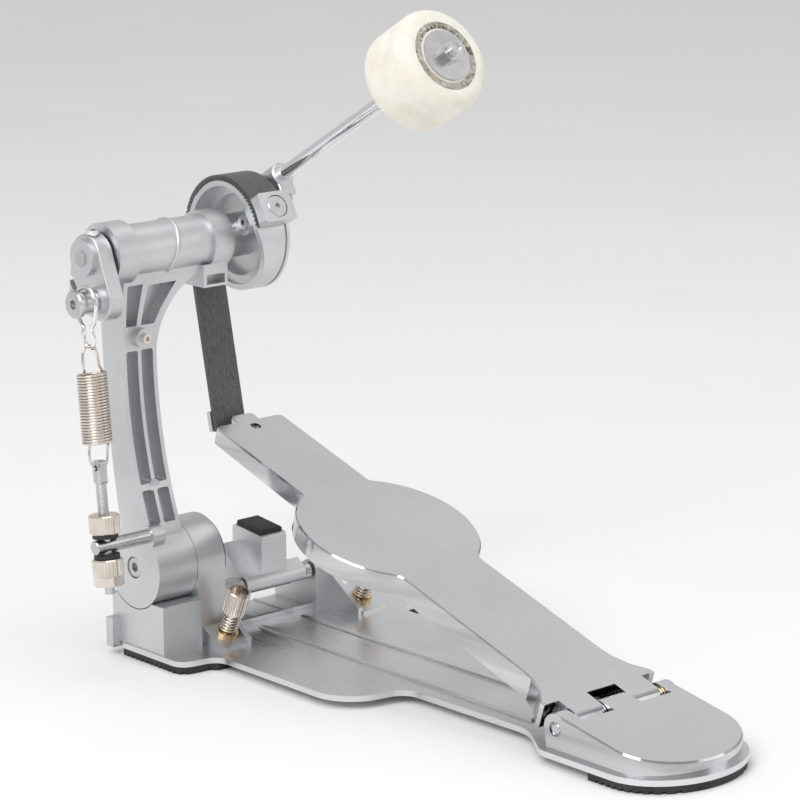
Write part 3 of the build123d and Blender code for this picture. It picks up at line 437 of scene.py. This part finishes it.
ring = 9.6
link_path = []
for angle in range(-60, 241, 30):
    a = math.radians(angle)
    link_path.append(link_point(0, -ring * math.sin(a), ring * math.cos(a)))
link_path = (
    [link_point(-0.4, 17.5, 4.2), link_point(0.3, 13.0, 3.4)]
    + [link_point(0, 10.2, 6.6)]
    + link_path[1:-1]
    + [link_point(0, 10.2, -6.6), link_point(-0.3, 13.0, -3.4), link_point(0.4, 17.5, -4.2)]
    + [link_point(0.8, 22.5, -3.6), link_point(0.8, 25.2, 0), link_point(0.2, 22.5, 3.6)]
)
link = wire("spring_wire_link", link_path, 1.3 * MM, closed=True)
finish(link, chrome, "chrome", "spring_link", "spring_link")

for name, side in (("left", -1), ("right", 1)):
    axis = -Vector(joint(f"spur_{name}_reach")["axis"])
    foot = Vector((side * 50 * MM, -14 * MM, 14 * MM))
    spring = helix(f"spur_helix_{name}", 4.75 * MM, 0.6 * MM, 2.05 * MM, 6, 24, 8)
    move_to(spring, foot + axis * 2.9 * MM, axis)
    finish(spring, nickel, "nickel", None, f"spur_spring_{name}")
    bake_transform(spring)

lever_at = Vector(joint("hoop_clamp")["pos_m"])
for name, side in (("left", -1), ("right", 1)):
    torsion = helix(f"clamp_helix_{name}", 4.3 * MM, 0.65 * MM, 1.32 * MM, 3, 24, 8)
    move_to(torsion, lever_at + Vector((side * (25.0 - side * 2.0) * MM, 0, 0)), (1, 0, 0), (0, 0, 1))
    nodes = ["clamp_springs"] if side < 0 else []
    finish(torsion, steel, "steel", "base", *nodes)


# ---- felt head ------------------------------------------------------------------------------
head_axis = Vector(joint("beater_height")["axis"]).normalized()
felt_middle = middle("beater_felt")
felt_radius = 29.3 * MM
felt_length = 38.5 * MM


def felt_head():
    bpy.ops.mesh.primitive_cylinder_add(vertices=96, radius=felt_radius, depth=felt_length)
    piece = start("felt_head")
    # rounded rims, then two flat inset rings round the middle of both ends
    pick(piece, lambda edge: is_rim(piece, edge), faces=False)
    bpy.ops.mesh.bevel(offset=7.5 * MM, segments=10, profile=0.5, affect="EDGES")
    bpy.ops.object.mode_set(mode="OBJECT")
    for ring_width in (2.0, 6.0):
        pick(piece, lambda face: abs(face.normal.z) > 0.999)
        bpy.ops.mesh.inset(thickness=ring_width * MM)
        bpy.ops.object.mode_set(mode="OBJECT")
    return piece


def is_rim(piece, edge):
    ends = [piece.data.vertices[v].co for v in edge.vertices]
    return abs(ends[0].z - ends[1].z) < 0.0001


head = felt_head()
move_to(head, felt_middle, head_axis)
smooth(head, 60)
finish(head, felt, "felt", "beater", "beater_felt")


# ---- threads --------------------------------------------------------------------------------
def thread(name, place, axis, radius, length, pitch=0.8):
    turns = int(length / pitch)
    piece = helix(name, radius * MM, 0.22 * MM, pitch * MM, turns, 24, 6)
    move_to(piece, place, axis)
    return piece


rod_thread = thread("rod_thread", rod_place(0, 0, 18.2), rod_axis, 2.85, 24.0)
finish(rod_thread, steel, "steel", "spring_rod")
nut_middle = middle("beater_nut")
tip_thread = thread("tip_thread", nut_middle + head_axis * 2.4 * MM, head_axis, 2.95, 4.4)
finish(tip_thread, steel, "steel", "beater")


# ---- axle tube's ring -----------------------------------------------------------------------
bpy.ops.mesh.primitive_torus_add(
    major_radius=14.9 * MM, minor_radius=1.3 * MM, major_segments=72, minor_segments=12
)
tube_ring = start("tube_ring")
slant = math.radians(14)
tube_middle = Vector(joint("axle_hinge")["pos_m"])
tube_middle.x = -58 * MM
move_to(tube_ring, tube_middle, Vector((math.cos(slant), 0, -math.sin(slant))), (0, 1, 0))
smooth(tube_ring, 60)
finish(tube_ring, casting, "casting", "post")


# ---- belt teeth -----------------------------------------------------------------------------
axle_at = Vector(joint("axle_hinge")["pos_m"])
belt_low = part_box("belt_wrap")[0]
seat = 32.0 * MM


def tooth(name, angle):
    # one moulded tooth that shows past the rim's edge
    bpy.ops.mesh.primitive_cube_add(size=1, location=(0, 0, 0), scale=(0.9 * MM, 1.5 * MM, 1.9 * MM))
    piece = start(name)
    only(piece)
    bpy.ops.object.mode_set(mode="EDIT")
    bpy.ops.mesh.select_mode(type="EDGE")
    bpy.ops.mesh.select_all(action="SELECT")
    bpy.ops.mesh.bevel(offset=0.25 * MM, segments=2, affect="EDGES")
    bpy.ops.object.mode_set(mode="OBJECT")
    a = math.radians(angle)
    out = Vector((0, math.cos(a), math.sin(a)))
    place = Vector((belt_low.x - 0.35 * MM, axle_at.y, axle_at.z)) + out * (seat + 0.7 * MM)
    move_to(piece, place, out)
    return piece


def joined(name, pieces):
    clear_selection()
    for piece in pieces:
        piece.select_set(True)
    bpy.context.view_layer.objects.active = pieces[0]
    bpy.ops.object.join()
    pieces[0].name = name
    return pieces[0]


teeth = [tooth(f"tooth_{i}", 42 + i * 4.4) for i in range(28)]
row = joined("belt_teeth", teeth)
finish(row, belting, "belt", "wheel")


# ---- floor and light ------------------------------------------------------------------------
bpy.ops.mesh.primitive_plane_add(size=8, location=(0, 0, -0.0002))
floor = start("floor")
ground, tree, shader = material("pale_floor", (0.93, 0.93, 0.93), roughness=0.9)
tone = tint(tree, spread(tree, pattern(tree, 3), 0, 1), (0.92, 0.92, 0.92), (0.94, 0.94, 0.94))
tree.links.new(tone, shader.inputs["Base Color"])
floor.data.materials.append(ground)

world = bpy.data.worlds.new("studio")
bpy.context.scene.world = world
world.use_nodes = True
background = world.node_tree.nodes["Background"]
background.inputs["Color"].default_value = (1, 1, 1, 1)
background.inputs["Strength"].default_value = 0.62


def softbox(name, place, target, width, height, power):
    data = bpy.data.lights.new(name, "AREA")
    data.shape = "RECTANGLE"
    data.size = width
    data.size_y = height
    data.energy = power
    lamp = bpy.data.objects.new(name, data)
    bpy.context.scene.collection.objects.link(lamp)
    lamp.location = place
    lamp.rotation_euler = (Vector(target) - Vector(place)).to_track_quat("-Z", "Y").to_euler()
    return lamp


softbox("key_light", (-1.6, -0.6, 1.7), (0, -0.1, 0.1), 1.2, 1.2, 22)
softbox("top_light", (0.2, -0.2, 2.2), (0, -0.1, 0), 1.6, 1.6, 10)
softbox("fill_light", (1.6, -1.6, 1.0), (0, -0.1, 0.1), 1.0, 1.4, 4)
bpy.context.scene.view_settings.view_transform = "Standard"

clear_selection()
